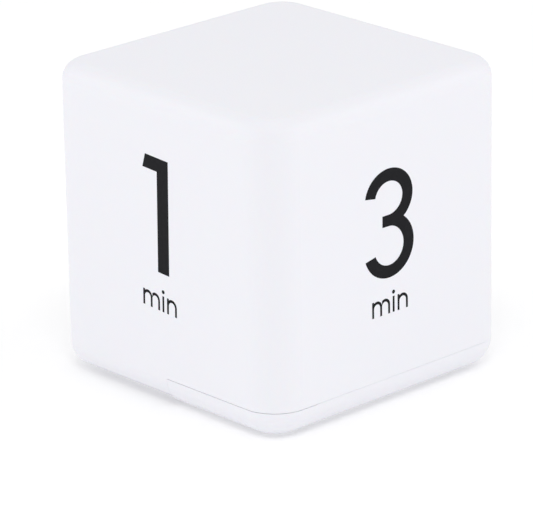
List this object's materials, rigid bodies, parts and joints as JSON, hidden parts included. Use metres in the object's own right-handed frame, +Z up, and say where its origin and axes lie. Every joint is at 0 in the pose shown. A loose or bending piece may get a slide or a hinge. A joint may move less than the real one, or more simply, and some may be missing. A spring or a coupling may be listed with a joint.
{
  "type": "kitchen timer",
  "caption": "White cube countdown timer: turn a numbered side up to start it. Blank top, display, sounder, power switch and sliding battery door in the base.",
  "frame": {"origin": "centre of the base's flat, on the surface that the timer stands on", "axes": "+Z up to the blank top, -Y out of the side marked 1 min, +X out of the side marked 3 min"},
  "size_m": [0.067, 0.067, 0.067],
  "materials": {
    "case_plastic": "satin white ABS",
    "smoked_window": "polished black-bordered window",
    "lcd_glass": "clear glass",
    "lcd_film": "grey-green polarising film",
    "frame_plastic": "fine matt",
    "zebra_rubber": "soft pink silicone with black layers",
    "board_laminate": "green solder mask on glass-epoxy laminate",
    "black_epoxy": "glossy black epoxy",
    "component_black": "moulded black plastic and ceramic",
    "capacitor_sleeve": "shrink sleeve",
    "can_metal": "drawn steel, fine grain",
    "tinned_metal": "tinned, bright",
    "contact_nickel": "nickel-plated steel sheet and wire",
    "gold_contact": "gold-flashed brass",
    "ball_steel": "polished steel ball",
    "switch_insulator": "brown phenolic sheet",
    "switch_black": "fine matt black",
    "cell_jacket": "metallised plain cell jacket",
    "wire_red": "PVC insulation",
    "wire_black": "PVC insulation",
    "print_ink": "screen-printed black ink, satin",
    "window_print": "black border printed behind the window",
    "display_segments": "liquid-crystal segments",
    "solder": "bright solder",
    "board_print": "white component print",
    "sound_mesh": "fine black dust mesh",
    "screw_zinc": "zinc-plated"
  },
  "bodies": {
    "case": {"body_shell": "case_plastic", "base_tray": "case_plastic", "display_window": "smoked_window", "lcd_polariser": "lcd_film", "lcd_front_glass": "lcd_glass", "lcd_rear_glass": "lcd_glass", "lcd_reflector": "lcd_film", "lcd_frame": "frame_plastic", "zebra_strip": "zebra_rubber", "circuit_board": "board_laminate", "chip_blob": "black_epoxy", "crystal": "can_metal", "capacitor": "capacitor_sleeve", "resistors": "component_black", "transistor": "component_black", "buzzer_case": "component_black", "buzzer_pins": "tinned_metal", "tilt_sensor_cup": "component_black", "tilt_sensor_lid": "component_black", "tilt_sensor_pins": "gold_contact", "switch_can": "can_metal", "switch_base": "switch_insulator", "switch_pins": "tinned_metal", "battery_left": "cell_jacket", "battery_right": "cell_jacket", "contact_link": "contact_nickel", "contact_positive": "contact_nickel", "contact_negative": "contact_nickel", "spring_link": "contact_nickel", "spring_negative": "contact_nickel", "wire_red": "wire_red", "wire_black": "wire_black", "case_screws": "screw_zinc", "board_screws": "screw_zinc"},
    "door": {"battery_door": "case_plastic"},
    "switch_knob": {"switch_knob": "switch_black", "switch_slider": "switch_black", "switch_contact": "gold_contact"},
    "ball": {"tilt_ball": "ball_steel"}
  },
  "joints": [
    {"name": "battery_door_slide", "type": "slide", "parent": "case", "child": "door", "axis": [1, 0, 0], "range_m": [0, 0.036]},
    {"name": "power_switch_slide", "type": "slide", "parent": "case", "child": "switch_knob", "axis": [1, 0, 0], "range_m": [0, 0.0025]},
    {"name": "tilt_ball_orbit", "type": "hinge", "parent": "case", "child": "ball", "pos_m": [-0.013, -0.006, 0.01465], "axis": [0, 0, 1], "continuous": true}
  ]
}
